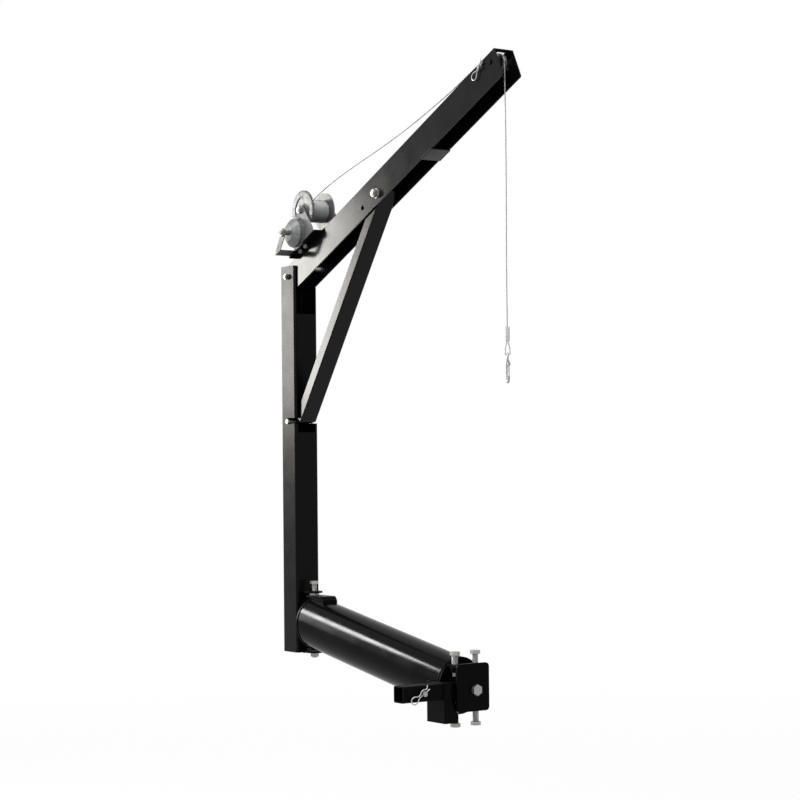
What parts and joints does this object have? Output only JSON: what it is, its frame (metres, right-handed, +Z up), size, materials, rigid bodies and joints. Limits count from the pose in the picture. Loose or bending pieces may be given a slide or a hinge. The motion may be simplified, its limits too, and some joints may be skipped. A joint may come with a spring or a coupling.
{
  "type": "hitch-mounted jib crane",
  "caption": "Small lifting crane on a square hitch bar: sloping round tube, swinging square mast, braced channel boom, hand winch, wire cable over a tip pulley and snap hook.",
  "frame": {"origin": "centre of the hitch pin, on the axis of the square hitch bar", "axes": "+Z up along the mast; -Y out of the bar's open end, into the receiver; +X from the mast towards the bar, level; the crane stands in the plane y = 0.183 m"},
  "size_m": [1.2389, 0.34, 2.0331],
  "materials": {
    "black_paint": "satin black",
    "zinc_steel": "zinc plated",
    "clip_wire": "bright drawn wire",
    "cable_wire": "galvanised strand",
    "ferrule_metal": "pressed"
  },
  "bodies": {
    "hitch_bracket": {"hitch_bar": "black_paint", "bracket_spigot": "black_paint", "spigot_cap": "black_paint", "saddle_post": "black_paint", "centre_bolt": "zinc_steel", "centre_nut": "zinc_steel", "hitch_pin": "zinc_steel", "hitch_pin_clip": "clip_wire"},
    "tube_base": {"main_tube": "black_paint", "tube_near_ring": "black_paint", "head_plates": "black_paint", "front_plate": "black_paint", "set_bolts": "zinc_steel", "set_bolt_nuts": "black_paint", "tube_end_ring": "black_paint", "tube_top_leaf": "black_paint", "tube_low_leaf": "black_paint", "slew_washers": "zinc_steel", "slew_bolt": "zinc_steel", "slew_nut": "zinc_steel"},
    "mast": {"mast": "black_paint", "mast_top_leaf": "black_paint", "mast_low_leaf": "black_paint", "boom_pivot_bolt": "zinc_steel", "boom_pivot_nut": "zinc_steel", "boom_spacers": "zinc_steel"},
    "boom": {"boom": "black_paint", "boom_strap": "black_paint", "brace": "black_paint", "brace_head_bolt": "zinc_steel", "brace_head_washer": "zinc_steel", "brace_head_nut": "zinc_steel", "brace_foot_pin": "zinc_steel", "winch_plate": "black_paint", "winch_bolts": "zinc_steel", "winch_frame": "zinc_steel", "winch_strap": "zinc_steel", "drum_shaft": "zinc_steel", "drum_shaft_nut": "zinc_steel", "drum_spacers": "zinc_steel", "brake_cup": "zinc_steel", "pulley_axle": "black_paint", "keeper_pin": "zinc_steel", "keeper_clip": "clip_wire", "cable_run": "cable_wire"},
    "drum": {"drum": "zinc_steel", "drum_gear": "zinc_steel", "cable_winding": "cable_wire"},
    "pinion": {"pinion_shaft": "zinc_steel", "pinion_nut": "zinc_steel"},
    "pulley": {"tip_pulley": "zinc_steel"},
    "line": {"hanging_cable": "cable_wire", "cable_ferrule": "ferrule_metal", "cable_eye": "cable_wire", "hook_swivel": "zinc_steel"},
    "hook": {"snap_hook": "zinc_steel"},
    "latch": {"hook_latch": "zinc_steel"}
  },
  "joints": [
    {"name": "tube_levelling", "type": "hinge", "parent": "hitch_bracket", "child": "tube_base", "pos_m": [0, 0.183, 0], "axis": [1, 0, 0], "range_deg": [-2, 2]},
    {"name": "mast_slew", "type": "hinge", "parent": "tube_base", "child": "mast", "pos_m": [-0.85818, 0.183, 0.2], "axis": [0, 0, 1], "range_deg": [-50, 50]},
    {"name": "boom_lift", "type": "hinge", "parent": "mast", "child": "boom", "pos_m": [-0.94117, 0.183, 1.32082], "axis": [0, -1, 0], "range_deg": [0, 40]},
    {"name": "drum_turn", "type": "hinge", "parent": "boom", "child": "drum", "pos_m": [-0.82863, 0.183, 1.53686], "axis": [0, 1, 0], "continuous": true},
    {"name": "pinion_turn", "type": "hinge", "parent": "boom", "child": "pinion", "pos_m": [-0.85393, 0.183, 1.46091], "axis": [0, 1, 0], "continuous": true},
    {"name": "pulley_turn", "type": "hinge", "parent": "boom", "child": "pulley", "pos_m": [0.19211, 0.183, 1.88078], "axis": [0, 1, 0], "continuous": true},
    {"name": "line_plumb", "type": "hinge", "parent": "boom", "child": "line", "pos_m": [0.19211, 0.183, 1.88078], "axis": [0, -1, 0], "range_deg": [-40, 0]},
    {"name": "hook_swivel_turn", "type": "hinge", "parent": "line", "child": "hook", "pos_m": [0.21811, 0.183, 0.97979], "axis": [0, 0, 1], "continuous": true},
    {"name": "latch_open", "type": "hinge", "parent": "hook", "child": "latch", "pos_m": [0.2297, 0.17832, 0.97979], "axis": [0.3746, 0.9272, 0], "range_deg": [0, 25], "stiffness_Nm_per_rad": 0.02, "springref_deg": -17.19}
  ],
  "couplings": [
    {"joint": "pinion_turn", "follows": "drum_turn", "ratio": -4.3},
    {"joint": "pulley_turn", "follows": "drum_turn", "ratio": 1.4346},
    {"joint": "line_plumb", "follows": "boom_lift", "ratio": -1}
  ]
}
